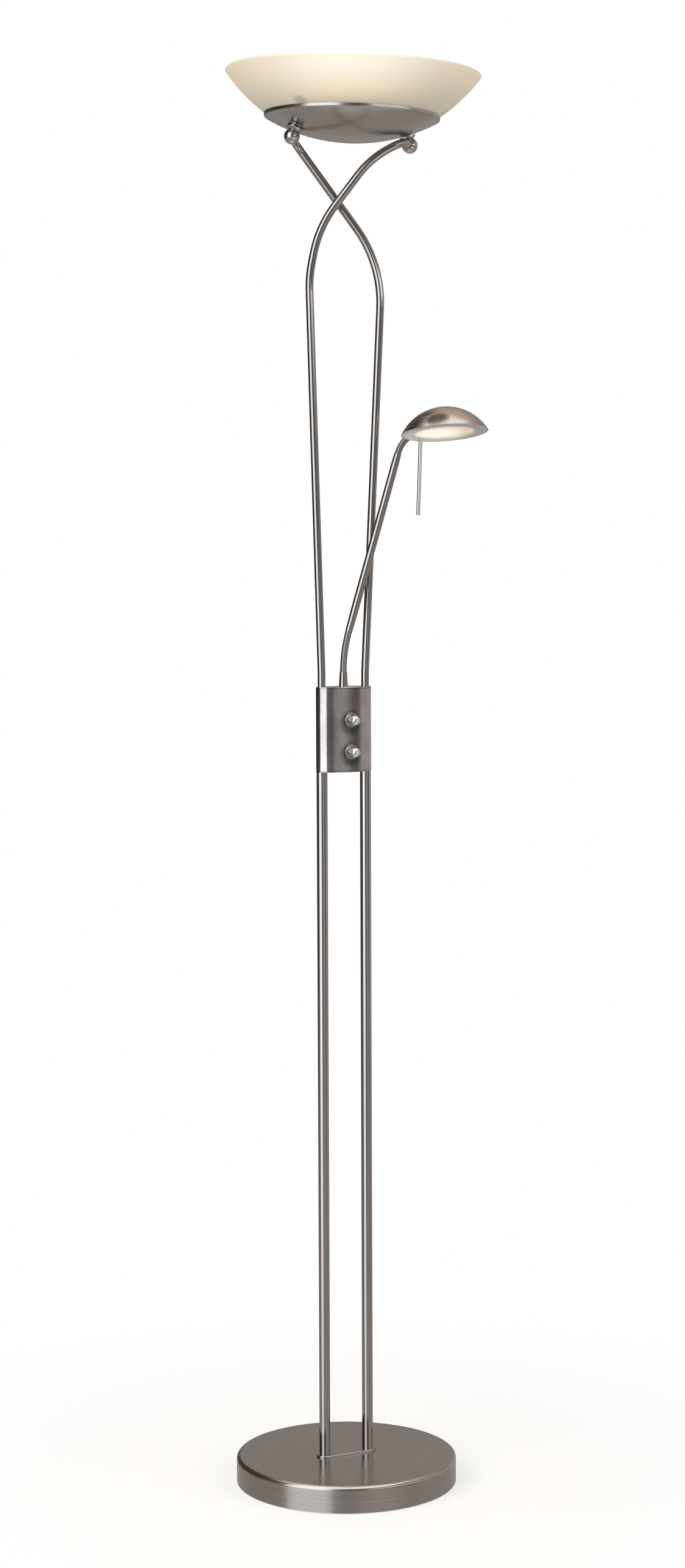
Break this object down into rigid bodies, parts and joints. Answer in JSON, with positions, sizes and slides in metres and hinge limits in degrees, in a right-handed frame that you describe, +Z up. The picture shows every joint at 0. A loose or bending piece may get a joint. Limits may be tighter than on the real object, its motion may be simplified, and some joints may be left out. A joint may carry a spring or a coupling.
{
  "type": "torchiere floor lamp with reading light",
  "caption": "Floor lamp with a round base, twin poles, a switch box with knobs, crossed tubes under a glass uplighter bowl, and a reading head on a flexible arm.",
  "frame": {"origin": "centre of the base's underside, on the floor", "axes": "+Z up along the column, +X along the line of the two poles, -Y toward the knobs"},
  "size_m": [0.3203, 0.3204, 1.8036],
  "materials": {
    "nickel": "satin nickel plating",
    "chrome": "polished chrome plating",
    "neck_metal": "wound steel, satin nickel plating",
    "frosted_glass": "acid frosted, lit from inside",
    "head_diffuser": "frosted disc, lit",
    "ring_metal": "satin",
    "cast_iron": "rough black",
    "zinc_steel": "zinc plated",
    "felt": "black felt",
    "black_rubber": "matt",
    "dark_plastic": "moulded black",
    "ceramic": "white steatite, semi-gloss",
    "quartz": "clear quartz"
  },
  "bodies": {
    "stand": {"base_cover": "nickel", "foot_plate": "nickel", "left_pole": "nickel", "right_pole": "nickel", "box_front_cover": "nickel", "box_rear_cover": "nickel", "front_upper_tube": "nickel", "rear_upper_tube": "nickel", "arm_ferrule": "nickel", "shade_dish": "nickel", "box_top_plate": "nickel", "box_bottom_plate": "nickel", "upper_bezel": "chrome", "lower_bezel": "chrome", "left_ball": "chrome", "right_ball": "chrome", "ball_collars": "chrome", "glass_bowl": "frosted_glass", "base_weight": "cast_iron", "base_plate": "zinc_steel", "base_spacers": "zinc_steel", "base_screws": "zinc_steel", "foot_studs": "zinc_steel", "foot_washers": "zinc_steel", "foot_nuts": "zinc_steel", "pole_head_studs": "zinc_steel", "ring_nuts": "zinc_steel", "box_chassis": "zinc_steel", "cover_screws": "zinc_steel", "tube_nipples": "zinc_steel", "ball_studs": "zinc_steel", "dish_nuts": "zinc_steel", "bowl_clamps": "zinc_steel", "lamp_brackets": "zinc_steel", "base_pad": "felt", "cord_grommet": "black_rubber", "seat_ring": "black_rubber", "upper_dimmer": "dark_plastic", "lower_dimmer": "dark_plastic", "terminal_block": "dark_plastic", "lampholders": "ceramic", "halogen_caps": "ceramic", "halogen_tube": "quartz"},
    "lower_neck": {"lower_neck_a": "neck_metal", "lower_neck_b": "neck_metal"},
    "arm": {"arm_tube": "nickel"},
    "upper_neck": {"upper_neck_a": "neck_metal", "upper_neck_b": "neck_metal"},
    "head": {"head_dome": "nickel", "head_ring": "ring_metal", "head_glass": "head_diffuser", "glass_clips": "chrome", "head_socket": "zinc_steel", "capsule_holder": "ceramic", "capsule_lamp": "quartz", "handle_rod": "chrome"},
    "upper_control": {"upper_knob": "chrome", "upper_knob_shaft": "zinc_steel"},
    "lower_control": {"lower_knob": "chrome", "lower_knob_shaft": "zinc_steel"}
  },
  "joints": [
    {"name": "arm_lean", "type": "hinge", "parent": "stand", "child": "lower_neck", "pos_m": [0.0004, -0.0002, 1.06219], "axis": [0.4524, 0.8918, 0], "range_deg": [-10, 45], "deforming": ["lower_neck_a"]},
    {"name": "arm_swing", "type": "hinge", "parent": "lower_neck", "child": "arm", "pos_m": [0.00355, -0.0018, 1.08793], "axis": [0.8731, -0.443, -0.2036], "range_deg": [0, 45], "deforming": ["lower_neck_b"]},
    {"name": "head_sway", "type": "hinge", "parent": "arm", "child": "upper_neck", "pos_m": [0.06471, -0.03399, 1.3326], "axis": [0.1602, -0.872, -0.4626], "range_deg": [-40, 40], "deforming": ["upper_neck_a"]},
    {"name": "head_nod", "type": "hinge", "parent": "upper_neck", "child": "head", "pos_m": [0.07082, -0.04569, 1.34501], "axis": [0.9395, 0.2785, -0.1996], "range_deg": [-25, 20], "deforming": ["upper_neck_b"]},
    {"name": "upper_dimmer_turn", "type": "hinge", "parent": "stand", "child": "upper_control", "pos_m": [0, -0.03, 0.9888], "axis": [0, -1, 0], "range_deg": [-290, 0]},
    {"name": "lower_dimmer_turn", "type": "hinge", "parent": "stand", "child": "lower_control", "pos_m": [0, -0.03, 0.9483], "axis": [0, -1, 0], "range_deg": [-290, 0]}
  ]
}
